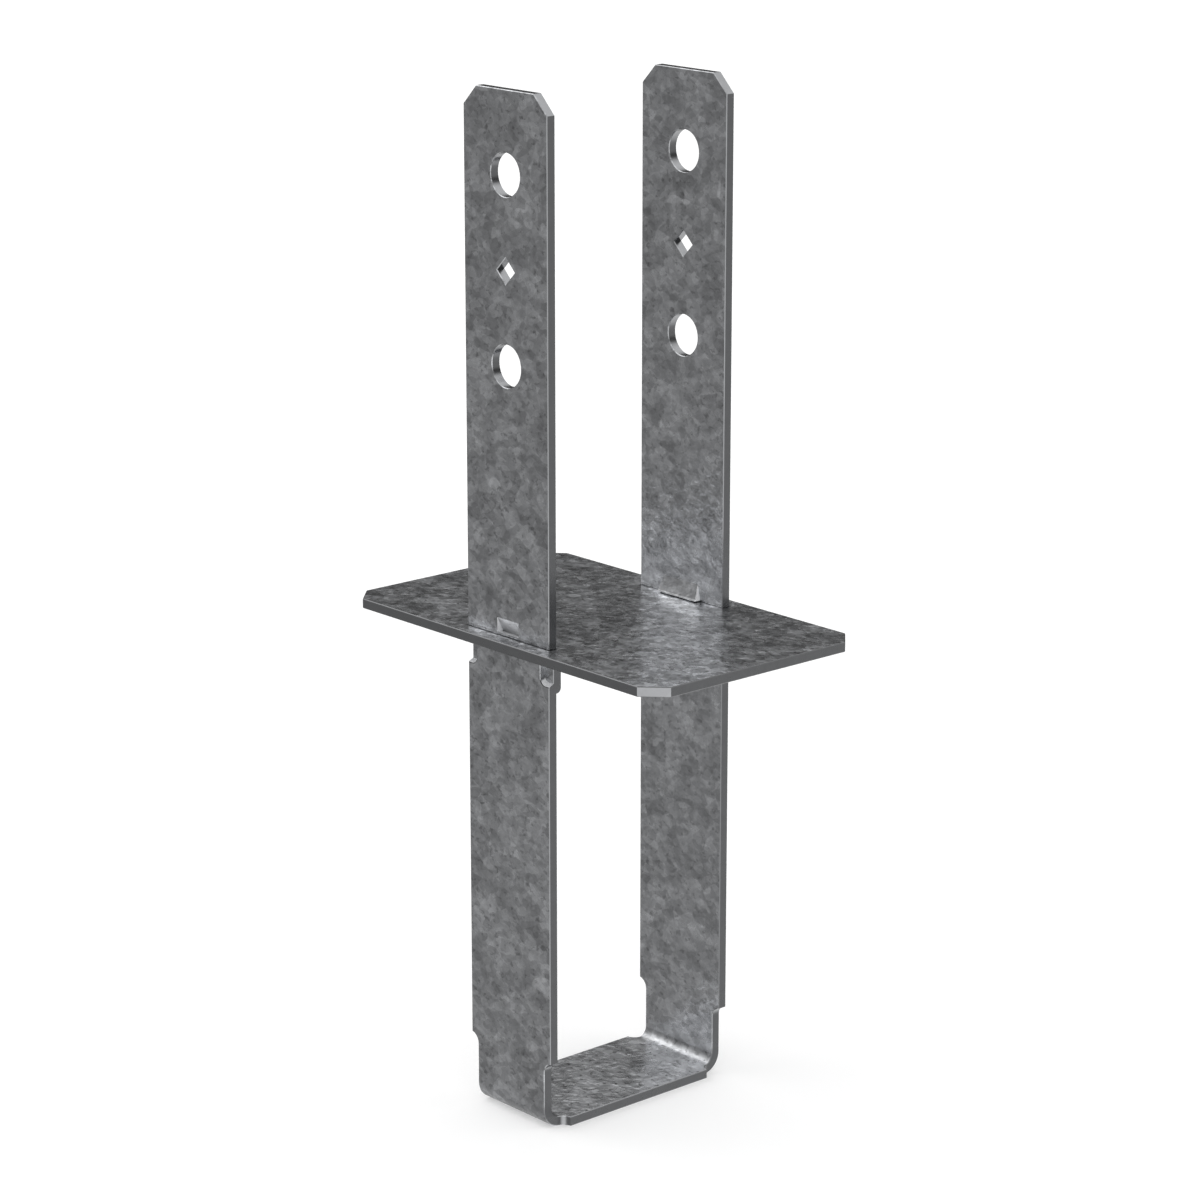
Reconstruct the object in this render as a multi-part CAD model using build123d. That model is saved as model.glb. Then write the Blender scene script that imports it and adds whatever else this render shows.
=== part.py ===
# Timber post base: a strap bent to a U that is cast into concrete, and a flat plate that carries the post.
# Z is up and z = 0 is the plate's top, where the post stands. Y runs from leg to leg, X along the strap's width.
import os
from build123d import *

os.makedirs("parts", exist_ok=True)

# Strap
strap_width = 50.8
sheet = 4.2
clear_gap = 91.6
leg_rise = 222.8
embedment = 209.4
bend_inner_r = 4.35
top_chamfer = 7.93
edge_break = 0.3
tool_break = 0.25

# Bolt holes and the diamond hole midway between them, the same in both legs
bolt_hole_r = 8.85
upper_hole_z = 189.2
lower_hole_z = 112.4
diamond_side = 7.6

# Relief notches in both edges of the strap, from the leg round each bend to the floor
notch_depth = 4.0
notch_rise = 30.3
notch_floor_run = 11.0
notch_corner_r = 4.3

# Half-sheared nibs at both edges of each leg: the ledge that carries the plate
nib_width = 5.5
nib_push = 2.4
nib_pocket_z = -15.7
nib_ledge_rise = 1.15
nib_foot_z = -19.0
nib_corner_r = 3.0
nib_foot_r = 2.2

# Ramp tab in each leg, pushed in over the plate so it can't lift
tab_push = 3.0
tab_top_z = 7.3
tab_gap = 0.4
tab_recess_z = 1.15
tab_recess_width = 13.3
tab_bump_width = 23.6
tab_bump_top_width = 21.0

# Plate
plate_length = 191.4
plate_width = 114.6
plate_thickness = 4.24
plate_chamfer = 9.39
slot_inner_play = 0.15
slot_outer_play = 0.35
slot_end_play = 0.6
slot_corner_r = 1.0

# Sizes that follow from those above
outer_y = clear_gap / 2 + sheet
inner_y = clear_gap / 2
edge_x = strap_width / 2
strap_bottom_z = -embedment
bend_outer_r = bend_inner_r + sheet
plate_bottom_z = -plate_thickness


def to_both_legs(piece):
    return [piece, piece.mirror(Plane.XZ)]


def to_four_corners(piece):
    pair = [piece, piece.mirror(Plane.YZ)]
    return pair + [one.mirror(Plane.XZ) for one in pair]


def block(x0, x1, y0, y1, z0, z1):
    return Pos((x0 + x1) / 2, (y0 + y1) / 2, (z0 + z1) / 2) * Box(x1 - x0, y1 - y0, z1 - z0)


def prism_along_x(points, half_width):
    face = make_face(Polyline(*[(0, y, z) for y, z in points], close=True))
    return extrude(face, amount=half_width, dir=(1, 0, 0), both=True)


# The U: its section in YZ is one ribbon with a bend at each side of the floor
outer_u = block(-edge_x, edge_x, -outer_y, outer_y, strap_bottom_z, leg_rise)
outer_u = fillet(outer_u.edges().filter_by(Axis.X).group_by(Axis.Z)[0], bend_outer_r)
inner_u = block(-edge_x - 1, edge_x + 1, -inner_y, inner_y, strap_bottom_z + sheet, leg_rise + 1)
inner_u = fillet(inner_u.edges().filter_by(Axis.X).group_by(Axis.Z)[0], bend_inner_r)
strap = outer_u - inner_u

# Clipped top corners
corner = make_face(
    Polyline(
        (edge_x - top_chamfer, 0, leg_rise),
        (edge_x, 0, leg_rise - top_chamfer),
        (edge_x + 1, 0, leg_rise - top_chamfer),
        (edge_x + 1, 0, leg_rise + 1),
        (edge_x - top_chamfer, 0, leg_rise + 1),
        close=True,
    )
)
corner = extrude(corner, amount=outer_y + 1, dir=(0, 1, 0), both=True)
strap = strap - corner - corner.mirror(Plane.YZ)

# Relief notches, with a quarter-round at both ends
notch_top_z = strap_bottom_z + notch_rise
notch_end_y = outer_y - notch_floor_run
notch_x = edge_x - notch_depth
leg_notch = block(
    notch_x, edge_x + 8, notch_end_y + notch_corner_r, outer_y + 8, strap_bottom_z - 8, notch_top_z
)
leg_notch = fillet(
    leg_notch.edges().filter_by(Axis.Y).group_by(Axis.Z)[-1].sort_by(Axis.X)[0], notch_corner_r
)
floor_notch = block(
    notch_x, edge_x + 8, notch_end_y, outer_y + 8, strap_bottom_z - 8, strap_bottom_z + bend_outer_r
)
floor_notch = fillet(
    floor_notch.edges().filter_by(Axis.Z).group_by(Axis.X)[0].sort_by(Axis.Y)[0], notch_corner_r
)
for cutter in to_four_corners(leg_notch + floor_notch):
    strap = strap - cutter

# Bolt holes and diamonds, straight through both legs
hole_span = 2 * outer_y + 10
for height in (upper_hole_z, lower_hole_z):
    strap = strap - Pos(0, 0, height) * Rot(90, 0, 0) * Cylinder(bolt_hole_r, hole_span)
diamond_z = (upper_hole_z + lower_hole_z) / 2
strap = strap - Pos(0, 0, diamond_z) * Rot(0, 45, 0) * Box(diamond_side, hole_span, diamond_side)

# Every rim of the sheared edges and holes is broken at 45 degrees


def is_rim(edge):
    # The bend lines and the short edges across the sheet are no rims
    if edge.geom_type != GeomType.LINE:
        return True
    run = edge % 0
    height = edge.center().Z
    if abs(run.X) > 0.99:
        return height > leg_rise - 1
    if abs(run.Y) > 0.99:
        return height < strap_bottom_z + sheet + 1
    return height > strap_bottom_z + sheet


strap = chamfer(strap.edges().filter_by(is_rim), edge_break)

# Half-sheared nibs: a pocket outside and the same metal standing proud inside
ledge_slope = nib_ledge_rise / nib_push
pocket_side = make_face(
    Polyline(
        (edge_x - nib_width, outer_y + 2, plate_bottom_z),
        (edge_x - nib_width, outer_y - nib_push, plate_bottom_z),
        (edge_x - nib_width, outer_y - nib_push, nib_pocket_z + nib_ledge_rise),
        (edge_x - nib_width, outer_y + 2, nib_pocket_z - 2 * ledge_slope),
        close=True,
    )
)
pocket = extrude(pocket_side, amount=nib_width + 2, dir=(1, 0, 0))
pocket = fillet(pocket.edges().group_by(Axis.X)[0].sort_by(Axis.Z)[0], nib_corner_r)
nib = block(edge_x - nib_width, edge_x, inner_y - nib_push, inner_y + 1, nib_foot_z, plate_bottom_z)
nib = fillet(nib.edges().filter_by(Axis.Y).group_by(Axis.Z)[0].sort_by(Axis.X)[0], nib_corner_r)
nib = fillet(nib.faces().sort_by(Axis.Z)[0].edges().filter_by(Axis.X).sort_by(Axis.Y)[0], nib_foot_r)
nib = chamfer(
    nib.faces().sort_by(Axis.X)[-1].edges().filter_by(Axis.Z).sort_by(Axis.Y)[0], tool_break
)
for cutter in to_four_corners(pocket):
    strap = strap - cutter


def is_pocket_rim(edge):
    spot = edge.center()
    if not nib_pocket_z - 0.01 < spot.Z < plate_bottom_z - 0.01:
        return False
    if abs(abs(spot.Y) - outer_y) < 0.01:
        return notch_x - nib_width < abs(spot.X) < edge_x - edge_break
    return abs(abs(spot.Y) - outer_y + nib_push) < 0.01 and abs(abs(spot.X) - edge_x) < 0.01


strap = chamfer(strap.edges().filter_by(is_pocket_rim), tool_break)
for piece in to_four_corners(nib):
    strap = strap + piece

# Ramp tabs: a wedge punched in from outside, standing proud inside just above the plate
skin = 0.01
recess = prism_along_x(
    [(outer_y + skin, tab_top_z), (outer_y - tab_push, tab_recess_z), (outer_y + skin, tab_recess_z)],
    tab_recess_width / 2,
)
bump = prism_along_x(
    [(inner_y + skin, tab_top_z), (inner_y - tab_push, tab_gap), (inner_y + skin, tab_gap)],
    tab_bump_width,
)
flare = make_face(
    Polyline(
        (-tab_bump_width / 2, 0, tab_gap),
        (tab_bump_width / 2, 0, tab_gap),
        (tab_bump_top_width / 2, 0, tab_top_z),
        (-tab_bump_top_width / 2, 0, tab_top_z),
        close=True,
    )
)
bump = bump & extrude(flare, amount=outer_y, dir=(0, 1, 0))
bump = chamfer(bump.edges().filter_by(lambda edge: edge.center().Y < inner_y - tab_push / 4), tool_break)
for cutter in to_both_legs(recess):
    strap = strap - cutter
for piece in to_both_legs(bump):
    strap = strap + piece

# The plate, with its corners clipped and a slot for each leg
plate = block(
    -plate_length / 2, plate_length / 2, -plate_width / 2, plate_width / 2, plate_bottom_z, 0
)
plate = chamfer(plate.edges().filter_by(Axis.Z), plate_chamfer)
slot = block(
    -edge_x - slot_end_play,
    edge_x + slot_end_play,
    inner_y - slot_inner_play,
    outer_y + slot_outer_play,
    plate_bottom_z - 1,
    1,
)
slot = fillet(slot.edges().filter_by(Axis.Z), slot_corner_r)
for cutter in to_both_legs(slot):
    plate = plate - cutter
faces = plate.faces().filter_by(Axis.Z)
plate = chamfer(faces.edges(), edge_break)

export_step(strap, "parts/strap_stirrup.step")
export_step(plate, "parts/base_plate.step")
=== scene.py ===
# Timber post base: materials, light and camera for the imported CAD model
import math
import bpy
from mathutils import Matrix, Vector

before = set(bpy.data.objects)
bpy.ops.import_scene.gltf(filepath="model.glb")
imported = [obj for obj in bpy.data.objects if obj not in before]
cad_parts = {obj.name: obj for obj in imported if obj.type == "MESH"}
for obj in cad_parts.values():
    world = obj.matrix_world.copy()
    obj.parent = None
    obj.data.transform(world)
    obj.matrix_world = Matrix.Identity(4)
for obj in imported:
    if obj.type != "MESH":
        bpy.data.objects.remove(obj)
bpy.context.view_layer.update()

# Sizes of the strap in metres, the same as in the CAD
OUTER_Y = 0.050
SHEET = 0.0042
BOTTOM_Z = -0.2094
BEND_OUTER_R = 0.00855
EDGE_X = 0.0254
EDGE_BREAK = 0.0003
TAB_REACH_X = 0.0121
TAB_FOOT_Z = 0.0004
TAB_TOP_Z = 0.0073
TAB_RAMP_DEPTH = 0.0035
NIB_POCKET_Z = -0.0157
NIB_PUSH = 0.0024
FLOOR_Z = BOTTOM_Z + SHEET
LEG_FOOT_Z = BOTTOM_Z + BEND_OUTER_R

# Camera: the photograph's viewpoint, with its angles in degrees
CAMERA_PLACE = Vector((1.12107, -0.99394, 0.41956))
CAMERA_AZIMUTH = 48.44
CAMERA_ELEVATION = 15.407
CAMERA_LENS = 112.438

# Metal: its tint, the greys of its rolled faces and cut edges, the darker grey painted on the ramp tabs'
# faces as shade, and its roughness
TINT = (0.985, 1.0, 1.03)
ROLLED_LEVEL = 0.45
PLATE_LEVEL = 0.49
CUT_LEVEL = 0.23
TAB_PAINTED_SHADE_LEVEL = 0.30
BRIGHTEST_LEVEL = 0.95
# Near-black painted on rims, the tabs' recessed sides and the inner bend as shade
PAINTED_SHADE_COLOUR = (0.03, 0.03, 0.03, 1.0)
# White matt on punched walls, ledges, tab undersides and the U's floor: raw punched steel, painted lighter as
# the light they catch
PUNCHED_AND_PAINTED_LIGHT_COLOUR = (0.84, 0.85, 0.87, 1.0)
STRAP_ROUGHNESS = 0.24
PLATE_ROUGHNESS = 0.27
ROUGHNESS_SWING = 0.25

# How much rougher the floor of the U and its bends are, and how deep the pits show on that floor
MATT_FLOOR = 0.03
MATT_BEND = 0.28
FLOOR_PITS = 0.80

# Relief of the zinc in metres
STRAP_RELIEF = 0.00032
PLATE_RELIEF = 0.00028

# How strongly each part of the pattern shades the two pieces
STRAP_PATTERN = {
    "clouds": 0.66,
    "large_cells": 0.29,
    "middle_cells": 0.36,
    "blotches": 0.48,
    "small_cells": 0.30,
    "grain": 0.25,
    "pits": 0.32,
}
PLATE_PATTERN = {
    "clouds": 0.32,
    "large_cells": 0.14,
    "middle_cells": 0.45,
    "blotches": 0.92,
    "small_cells": 0.75,
    "grain": 1.10,
    "pits": 0.65,
}
STREAK_STRENGTH = 0.30
STREAK_RELIEF = 0.10

# Light: the surround's level at the horizon, how far it rises below it, overhead and underneath,
# the share of the overhead light that is left at the zenith,
# its panels as azimuth, elevation, inner and outer radius, strength,
# and its dark parts in the same terms
HORIZON = 0.33
SKIRT = 0.07
OVERHEAD = 1.55
ZENITH_SHARE = 0.5
UNDERNEATH = 1.20
PANELS = (
    (45.0, -12.0, 10.0, 38.0, 1.70),
    (-66.0, 39.0, 9.0, 32.5, 1.45),
    (131.0, -5.0, 10.0, 40.0, 0.17),
    (180.0, -48.0, 12.0, 40.0, 0.85),
)
DARK_PARTS = (
    (-132.0, 2.0, 12.0, 38.0, -0.78),
    (134.0, 22.0, 6.0, 16.0, -0.80),
)
PLAIN_LEVEL = 1.0
FLOOR_HALF = 12.0
FLOOR_WHITE = 0.70
FLOOR_GLOW = 0.32


class Nodes:
    # A short way to write a node tree
    def __init__(self, owner):
        owner.use_nodes = True
        self.tree = owner.node_tree
        self.tree.nodes.clear()

    def add(self, kind, **settings):
        node = self.tree.nodes.new(kind)
        for name, value in settings.items():
            setattr(node, name, value)
        return node

    def link(self, value, socket):
        if isinstance(value, (int, float, tuple)):
            socket.default_value = value
        else:
            self.tree.links.new(value, socket)

    def math(self, operation, first, second=0.0, third=0.0):
        node = self.add("ShaderNodeMath", operation=operation)
        for value, socket in zip((first, second, third), node.inputs):
            self.link(value, socket)
        return node.outputs[0]

    def product(self, first, *others):
        for other in others:
            first = self.math("MULTIPLY", first, other)
        return first

    def largest(self, first, *others):
        for other in others:
            first = self.math("MAXIMUM", first, other)
        return first

    def step(self, value, low, high, start=0.0, end=1.0):
        # A soft rise from start to end while the value goes from low to high
        node = self.add("ShaderNodeMapRange", interpolation_type="SMOOTHSTEP")
        self.link(value, node.inputs["Value"])
        for name, number in (("From Min", low), ("From Max", high), ("To Min", start), ("To Max", end)):
            node.inputs[name].default_value = number
        return node.outputs["Result"]

    def between(self, value, low, high):
        # 1 between the two limits and 0 outside them
        soft = 0.00003
        rise = self.step(value, low - soft, low + soft)
        fall = self.step(value, high - soft, high + soft, 1.0, 0.0)
        return self.product(rise, fall)

    def noise(self, place, scale, detail, roughness, distortion):
        node = self.add("ShaderNodeTexNoise")
        self.link(place, node.inputs["Vector"])
        node.inputs["Scale"].default_value = scale
        node.inputs["Detail"].default_value = detail
        node.inputs["Roughness"].default_value = roughness
        node.inputs["Distortion"].default_value = distortion
        return node.outputs["Fac"]

    def cells(self, place, scale, wander):
        # A random grey for each cell of the spangle, whose outlines wander by so many metres
        turbulence = self.add("ShaderNodeTexNoise")
        self.link(place, turbulence.inputs["Vector"])
        turbulence.inputs["Scale"].default_value = scale
        shift = self.add("ShaderNodeVectorMath", operation="MULTIPLY_ADD")
        self.link(turbulence.outputs["Color"], shift.inputs[0])
        shift.inputs[1].default_value = (wander, wander, wander)
        self.link(place, shift.inputs[2])
        node = self.add("ShaderNodeTexVoronoi", feature="SMOOTH_F1")
        self.link(shift.outputs[0], node.inputs["Vector"])
        node.inputs["Scale"].default_value = scale
        node.inputs["Smoothness"].default_value = 0.07
        split = self.add("ShaderNodeSeparateColor")
        self.link(node.outputs["Color"], split.inputs[0])
        return split.outputs[0]

    def stretch(self, place, scale):
        node = self.add("ShaderNodeVectorMath", operation="MULTIPLY")
        self.link(place, node.inputs[0])
        node.inputs[1].default_value = scale
        return node.outputs[0]

    def mix(self, factor, first, second):
        node = self.add("ShaderNodeMix", data_type="RGBA")
        self.link(factor, node.inputs["Factor"])
        self.link(first, node.inputs[6])
        self.link(second, node.inputs[7])
        return node.outputs[2]

    def mix_number(self, factor, first, second):
        node = self.add("ShaderNodeMix", data_type="FLOAT")
        for value, socket in ((factor, node.inputs[0]), (first, node.inputs[2]), (second, node.inputs[3])):
            self.link(value, socket)
        return node.outputs[0]

    def grey(self, value, tint):
        node = self.add("ShaderNodeCombineColor")
        for socket, factor in zip(node.inputs, tint):
            self.link(self.product(value, factor), socket)
        return node.outputs[0]

    def place(self):
        # Where the surface is, as one vector and as its three parts
        place = self.add("ShaderNodeTexCoord").outputs["Object"]
        split = self.add("ShaderNodeSeparateXYZ")
        self.link(place, split.inputs[0])
        return place, split.outputs

    def facing(self):
        # How far the surface faces along X, Y and Z, either way, and how far up
        split = self.add("ShaderNodeSeparateXYZ")
        self.link(self.add("ShaderNodeNewGeometry").outputs["Normal"], split.inputs[0])
        return [self.math("ABSOLUTE", split.outputs[i]) for i in range(3)] + [split.outputs[2]]


def spangle(n, drawn):
    # The layers of the zinc's pattern from coarse to fine, and the pits in it
    layers = {
        "clouds": n.noise(drawn, 70.0, 4.0, 0.60, 0.6),
        "large_cells": n.cells(drawn, 125.0, 0.0045),
        "middle_cells": n.cells(drawn, 215.0, 0.0028),
        "blotches": n.noise(drawn, 230.0, 4.0, 0.62, 0.6),
        "small_cells": n.cells(drawn, 380.0, 0.0014),
        "grain": n.noise(drawn, 620.0, 2.0, 0.6, 0.3),
    }
    pits = n.step(n.noise(drawn, 390.0, 3.0, 0.55, 0.3), 0.60, 0.67)
    return layers, pits


def calm_places(n, height, on_floor):
    # The relief is shallower on the legs over the bend and over the plate
    over_bend = n.largest(n.step(height, BOTTOM_Z + 0.012, BOTTOM_Z + 0.034, 0.35, 1.0), on_floor)
    below_plate_top = n.step(height, 0.0005, 0.002, 1.0, 0.0)
    over_plate = n.largest(n.step(height, 0.004, 0.034, 0.5, 1.0), below_plate_top)
    return n.product(over_bend, over_plate)


def galvanised(
    name,
    cut_edge,
    painted_shade_rim,
    rolled_level,
    strengths,
    roughness,
    relief_depth,
    tab_painted_shade=None,
    punched_and_painted_light=None,
):
    # Zinc-coated steel: spangle on the rolled faces, plain darker cut edges, punched walls lighter with
    # painted light, and rims and tab faces darker with painted shade
    material = bpy.data.materials.new(name)
    n = Nodes(material)
    place, place_parts = n.place()
    height = place_parts[2]
    drawn = n.stretch(place, (0.9, 1.0, 1.1))
    layers, pits = spangle(n, drawn)
    waves = n.noise(drawn, 300.0, 1.5, 0.5, 0.4)
    streaks = n.step(n.noise(n.stretch(place, (1.0, 1.0, 0.24)), 250.0, 1.5, 0.5, 0.9), 0.72, 0.80)

    tab_shade = tab_painted_shade(n) if tab_painted_shade else 0.0
    # Painted shade: the faces of the ramp tabs get a darker grey
    level = n.mix_number(tab_shade, rolled_level, TAB_PAINTED_SHADE_LEVEL)
    for part, layer in layers.items():
        level = n.product(level, n.math("MULTIPLY_ADD", n.math("SUBTRACT", layer, 0.5), strengths[part], 1.0))
    on_floor = n.step(height, FLOOR_Z + 0.0002, FLOOR_Z + 0.0016, 1.0, 0.0)
    pit_strength = n.mix_number(on_floor, -strengths["pits"], -FLOOR_PITS)
    level = n.product(level, n.math("MULTIPLY_ADD", pits, pit_strength, 1.0))
    level = n.product(level, n.math("MULTIPLY_ADD", streaks, STREAK_STRENGTH, 1.0))
    level = n.math("MINIMUM", level, BRIGHTEST_LEVEL)

    cut = cut_edge(n)
    edge_level = n.math("MULTIPLY_ADD", n.math("SUBTRACT", layers["blotches"], 0.5), 0.05, CUT_LEVEL)
    colour = n.mix(cut, n.grey(level, TINT), n.grey(edge_level, TINT))
    # Painted shade: near-black over some rims, the tabs' recessed sides and the inner bend
    colour = n.mix(painted_shade_rim(n), colour, PAINTED_SHADE_COLOUR)
    shader = n.add("ShaderNodeBsdfPrincipled")
    shader.inputs["Metallic"].default_value = 1.0
    # Painted light: white matt on the tab walls and undersides, the pocket ledges and a little on the U's
    # floor
    if punched_and_painted_light:
        walls_and_painted_light = punched_and_painted_light(n)
        colour = n.mix(walls_and_painted_light, colour, PUNCHED_AND_PAINTED_LIGHT_COLOUR)
        n.link(n.math("SUBTRACT", 1.0, walls_and_painted_light), shader.inputs["Metallic"])
    n.link(colour, shader.inputs["Base Color"])

    rough = n.math("MULTIPLY_ADD", n.math("SUBTRACT", layers["clouds"], 0.5), ROUGHNESS_SWING, roughness)
    matt = n.mix_number(on_floor, MATT_BEND, MATT_FLOOR)
    below_legs = n.step(height, LEG_FOOT_Z, BOTTOM_Z + 0.014, 1.0, 0.0)
    n.link(n.math("MULTIPLY_ADD", matt, below_legs, rough), shader.inputs["Roughness"])

    bump = n.add("ShaderNodeBump")
    bump.inputs["Strength"].default_value = 1.0
    bump.inputs["Distance"].default_value = relief_depth
    relief = n.math("ADD", waves, n.product(streaks, STREAK_RELIEF))
    uneven = n.math("SUBTRACT", 1.0, n.largest(cut, n.product(tab_shade, 0.3)))
    n.link(n.product(relief, uneven, calm_places(n, height, on_floor)), bump.inputs["Height"])
    n.link(bump.outputs[0], shader.inputs["Normal"])
    out = n.add("ShaderNodeOutputMaterial")
    n.link(shader.outputs[0], out.inputs[0])
    return material


def strap_cut_edge(n):
    # The depth under the strap's outer skin tells a cut face from a rolled one
    _, (x, y, z) = n.place()
    facing_x, facing_y, _, _ = n.facing()
    side = n.math("ABSOLUTE", x)
    across = n.largest(n.math("SUBTRACT", n.math("ABSOLUTE", y), OUTER_Y - BEND_OUTER_R), 0.0)
    down = n.largest(n.math("SUBTRACT", LEG_FOOT_Z, z), 0.0)
    squared = n.math("ADD", n.product(across, across), n.product(down, down))
    depth = n.math("SUBTRACT", BEND_OUTER_R, n.math("SQRT", squared))
    low = n.step(z, LEG_FOOT_Z - 0.0001, LEG_FOOT_Z + 0.0001, 1.0, 0.0)
    high = n.math("SUBTRACT", 1.0, low)
    side_rim = n.product(n.step(side, EDGE_X - 0.0010, EDGE_X - 0.0008), 0.4)
    leg_edge = n.step(n.math("SUBTRACT", facing_y, side_rim), 0.35, 0.48, 1.0, 0.0)
    leg_edge = n.product(n.between(depth, -0.0001, SHEET + 0.0001), leg_edge)
    bend_edge = n.largest(n.between(depth, EDGE_BREAK, SHEET - EDGE_BREAK), n.step(facing_x, 0.5, 0.65))
    sheared = n.math("ADD", n.product(high, leg_edge), n.product(low, bend_edge))
    on_edge = n.step(side, EDGE_X - 0.00008, EDGE_X - 0.00004)
    return n.largest(sheared, n.product(on_edge, n.step(facing_x, 0.85, 0.95)))


def strap_tab_zone(n):
    _, (x, _, z) = n.place()
    across = n.between(n.math("ABSOLUTE", x), -1.0, TAB_REACH_X)
    return n.product(across, n.between(z, TAB_FOOT_Z - 0.0002, TAB_TOP_Z + 0.0002))


def strap_punched_and_painted_light(n):
    # Painted light, partly raw punched steel: white matt on the side walls, undersides and front ledge of the
    # ramp tabs, on the sloping ledges of the nib pockets, and partly on the floor of the U, standing in for
    # the light they catch
    _, (_, y, z) = n.place()
    facing_x, _, _, facing_up = n.facing()
    out = n.math("ABSOLUTE", y)
    facing_down = n.step(facing_up, -0.6, -0.3, 0.9, 0.0)
    sides = n.largest(n.step(facing_x, 0.6, 0.75), facing_down)
    ledge_share = n.step(out, OUTER_Y - 0.0030, OUTER_Y - 0.0008, 0.30, 0.65)
    front_ledge = n.product(n.step(facing_up, 0.8, 0.9), ledge_share)
    tab_wall = n.product(n.largest(sides, front_ledge), strap_tab_zone(n))
    in_pocket = n.product(
        n.between(z, NIB_POCKET_Z - 0.0003, NIB_POCKET_Z + 0.0045),
        n.between(out, OUTER_Y - NIB_PUSH - 0.0001, OUTER_Y - 0.0002),
    )
    pocket_ledge = n.product(in_pocket, n.step(facing_up, 0.35, 0.6))
    # Painted light: a little white matt on the floor of the U, lighter than it is
    low = n.step(z, FLOOR_Z + 0.0010, FLOOR_Z + 0.0032, 0.085, 0.0)
    painted_floor_light = n.product(low, n.step(facing_up, 0.5, 0.9))
    return n.largest(tab_wall, pocket_ledge, painted_floor_light)


def tab_ramp(n, out):
    # The sloping side of a tab's recess, told by its depth under the outer skin
    return n.between(out, OUTER_Y - TAB_RAMP_DEPTH, OUTER_Y - 0.00008)


def strap_tab_painted_shade(n):
    # Painted shade: both faces of a ramp tab are painted darker, as shade on them
    _, place_parts = n.place()
    out = n.math("ABSOLUTE", place_parts[1])
    proud = n.step(out, OUTER_Y - SHEET - 0.00006, OUTER_Y - SHEET - 0.00002, 1.0, 0.0)
    return n.product(n.largest(proud, tab_ramp(n, out)), strap_tab_zone(n))


def strap_painted_shade_rim(n):
    # Painted shade: near-black painted on the rim at the foot of each nib pocket, on the rims inside the legs
    # under the plate, and a little on the other rims, the recessed side of the ramp tabs and the inner bend,
    # dimming their highlights
    _, (x, y, z) = n.place()
    _, facing_y, _, facing_up = n.facing()
    side = n.math("ABSOLUTE", x)
    out = n.math("ABSOLUTE", y)
    near_foot = n.between(z, NIB_POCKET_Z - 0.0012, NIB_POCKET_Z + 0.0036)
    at_skin = n.step(out, OUTER_Y - 0.0004, OUTER_Y - 0.0003)
    foot = n.product(near_foot, n.step(facing_up, 0.1, 0.3), at_skin, n.between(facing_y, 0.5, 0.93))
    inside = n.step(out, OUTER_Y - SHEET + 0.0004, OUTER_Y - SHEET + 0.0005, 0.51, 0.0)
    low = n.product(inside, n.step(z, -0.022, -0.020, 1.0, 0.0))
    hole_or_side = n.step(side, EDGE_X - 0.0012, EDGE_X - 0.0010, 0.39, 0.20)
    rim = n.product(n.between(facing_y, 0.5, 0.8), n.largest(low, hole_or_side))
    above_bend = n.step(z, LEG_FOOT_Z, LEG_FOOT_Z + 0.0002)
    rim_shade = n.product(n.largest(rim, foot), above_bend)
    recess = n.product(tab_ramp(n, out), strap_tab_zone(n), 0.69)
    in_bend = n.step(z, LEG_FOOT_Z, LEG_FOOT_Z + 0.001, 0.20, 0.0)
    bend = n.product(in_bend, n.between(facing_up, 0.10, 0.97))
    return n.largest(rim_shade, recess, bend)


def plate_cut_edge(n):
    return n.step(n.facing()[2], 0.75, 0.88, 1.0, 0.0)


def plate_painted_shade_rim(n):
    # Painted shade: the plate's rims get partly near-black, dimming their highlights
    return n.product(n.between(n.facing()[2], 0.5, 0.9), 0.58)


strap_metal = galvanised(
    "galvanised_strap_look",
    strap_cut_edge,
    strap_painted_shade_rim,
    ROLLED_LEVEL,
    STRAP_PATTERN,
    STRAP_ROUGHNESS,
    STRAP_RELIEF,
    tab_painted_shade=strap_tab_painted_shade,
    punched_and_painted_light=strap_punched_and_painted_light,
)
plate_metal = galvanised(
    "galvanised_plate_look",
    plate_cut_edge,
    plate_painted_shade_rim,
    PLATE_LEVEL,
    PLATE_PATTERN,
    PLATE_ROUGHNESS,
    PLATE_RELIEF,
)
for node, material in (("strap_stirrup", strap_metal), ("base_plate", plate_metal)):
    for material_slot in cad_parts[node].material_slots:
        material_slot.material = material


def heading(azimuth, elevation):
    # Azimuth counts from -Y towards +X, in degrees
    a, e = math.radians(azimuth), math.radians(elevation)
    return (math.sin(a) * math.cos(e), -math.cos(a) * math.cos(e), math.sin(e))


def soft_panel(n, direction, azimuth, elevation, inner, outer, strength):
    # A round soft panel in the surround, in degrees from its middle
    towards = n.add("ShaderNodeVectorMath", operation="DOT_PRODUCT")
    n.link(direction, towards.inputs[0])
    towards.inputs[1].default_value = heading(azimuth, elevation)
    cosine = towards.outputs["Value"]
    return n.step(cosine, math.cos(math.radians(outer)), math.cos(math.radians(inner)), 0.0, strength)


def soft_band(n, height, low, high, start, end):
    # A soft change of level while the elevation goes from low to high, in degrees
    return n.step(height, math.sin(math.radians(low)), math.sin(math.radians(high)), start, end)


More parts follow.
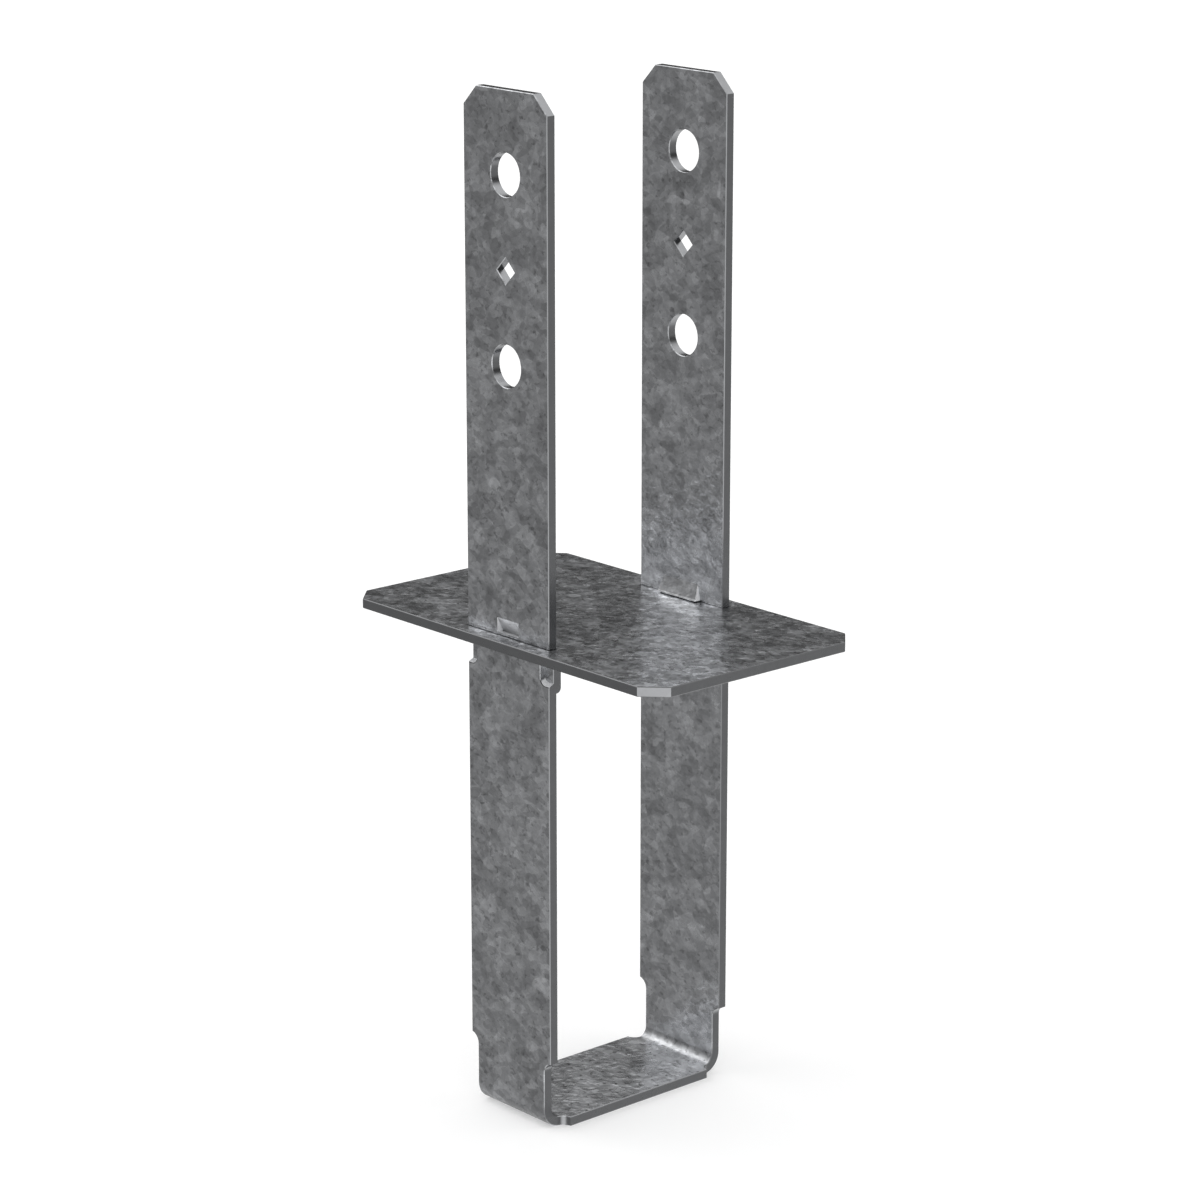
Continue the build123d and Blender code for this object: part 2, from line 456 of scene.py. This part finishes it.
def set_floor():
    # A pale floor that shows the contact shadow but isn't mirrored in the metal
    mesh = bpy.data.meshes.new("studio_floor")
    half = FLOOR_HALF
    corners = [(x, y, BOTTOM_Z) for x, y in ((-half, -half), (half, -half), (half, half), (-half, half))]
    mesh.from_pydata(corners, [], [(0, 1, 2, 3)])
    floor = bpy.data.objects.new("studio_floor", mesh)
    bpy.context.scene.collection.objects.link(floor)
    material = bpy.data.materials.new("studio_floor_white")
    n = Nodes(material)
    shader = n.add("ShaderNodeBsdfDiffuse")
    shader.inputs["Color"].default_value = (FLOOR_WHITE, FLOOR_WHITE, FLOOR_WHITE, 1.0)
    glow = n.add("ShaderNodeEmission")
    glow.inputs["Strength"].default_value = FLOOR_GLOW
    both = n.add("ShaderNodeAddShader")
    n.link(shader.outputs[0], both.inputs[0])
    n.link(glow.outputs[0], both.inputs[1])
    clear = n.add("ShaderNodeBsdfTransparent")
    pick = n.add("ShaderNodeMixShader")
    n.link(n.add("ShaderNodeLightPath").outputs["Is Glossy Ray"], pick.inputs[0])
    n.link(both.outputs[0], pick.inputs[1])
    n.link(clear.outputs[0], pick.inputs[2])
    out = n.add("ShaderNodeOutputMaterial")
    n.link(pick.outputs[0], out.inputs[0])
    mesh.materials.append(material)


def set_surround():
    # White behind the object, and soft panels round it that only the metal sees:
    # matt surfaces see a plain level
    world = bpy.data.worlds.new("studio_world")
    bpy.context.scene.world = world
    n = Nodes(world)
    direction = n.add("ShaderNodeTexCoord").outputs["Generated"]
    split = n.add("ShaderNodeSeparateXYZ")
    n.link(direction, split.inputs[0])
    height = split.outputs[2]
    above = soft_band(n, height, 22.0, 54.0, 0.0, OVERHEAD)
    above = n.product(above, soft_band(n, height, 57.0, 78.0, 1.0, ZENITH_SHARE))
    below = soft_band(n, height, -75.0, -45.0, UNDERNEATH, 0.0)
    skirt = soft_band(n, height, -26.0, -8.0, SKIRT, 0.0)
    level = n.math("ADD", n.math("ADD", n.math("ADD", above, below), skirt), HORIZON)
    for panel in PANELS:
        level = n.math("ADD", level, soft_panel(n, direction, *panel))
    for dark_part in DARK_PARTS:
        level = n.product(level, n.math("ADD", soft_panel(n, direction, *dark_part), 1.0))
    rays = n.add("ShaderNodeLightPath").outputs
    level = n.mix_number(rays["Is Diffuse Ray"], level, PLAIN_LEVEL)
    lit = n.add("ShaderNodeBackground")
    n.link(n.grey(level, (1.0, 1.0, 1.0)), lit.inputs["Color"])
    seen = n.add("ShaderNodeBackground")
    seen.inputs["Color"].default_value = (1.0, 1.0, 1.0, 1.0)
    pick = n.add("ShaderNodeMixShader")
    n.link(rays["Is Camera Ray"], pick.inputs[0])
    n.link(lit.outputs[0], pick.inputs[1])
    n.link(seen.outputs[0], pick.inputs[2])
    out = n.add("ShaderNodeOutputWorld")
    n.link(pick.outputs[0], out.inputs[0])


def set_camera():
    azimuth = math.radians(CAMERA_AZIMUTH)
    back = Vector(heading(CAMERA_AZIMUTH, CAMERA_ELEVATION))
    right = Vector((math.cos(azimuth), math.sin(azimuth), 0.0))
    up = back.cross(right)
    lens = bpy.data.cameras.new("photo_camera")
    lens.sensor_width = 36.0
    lens.lens = CAMERA_LENS
    lens.clip_end = 50.0
    camera = bpy.data.objects.new("photo_camera", lens)
    bpy.context.scene.collection.objects.link(camera)
    turn = Matrix((right, up, back)).transposed().to_4x4()
    camera.matrix_world = Matrix.Translation(CAMERA_PLACE) @ turn
    bpy.context.scene.camera = camera


set_floor()
set_surround()
set_camera()

scene = bpy.context.scene
scene.view_settings.view_transform = "Standard"
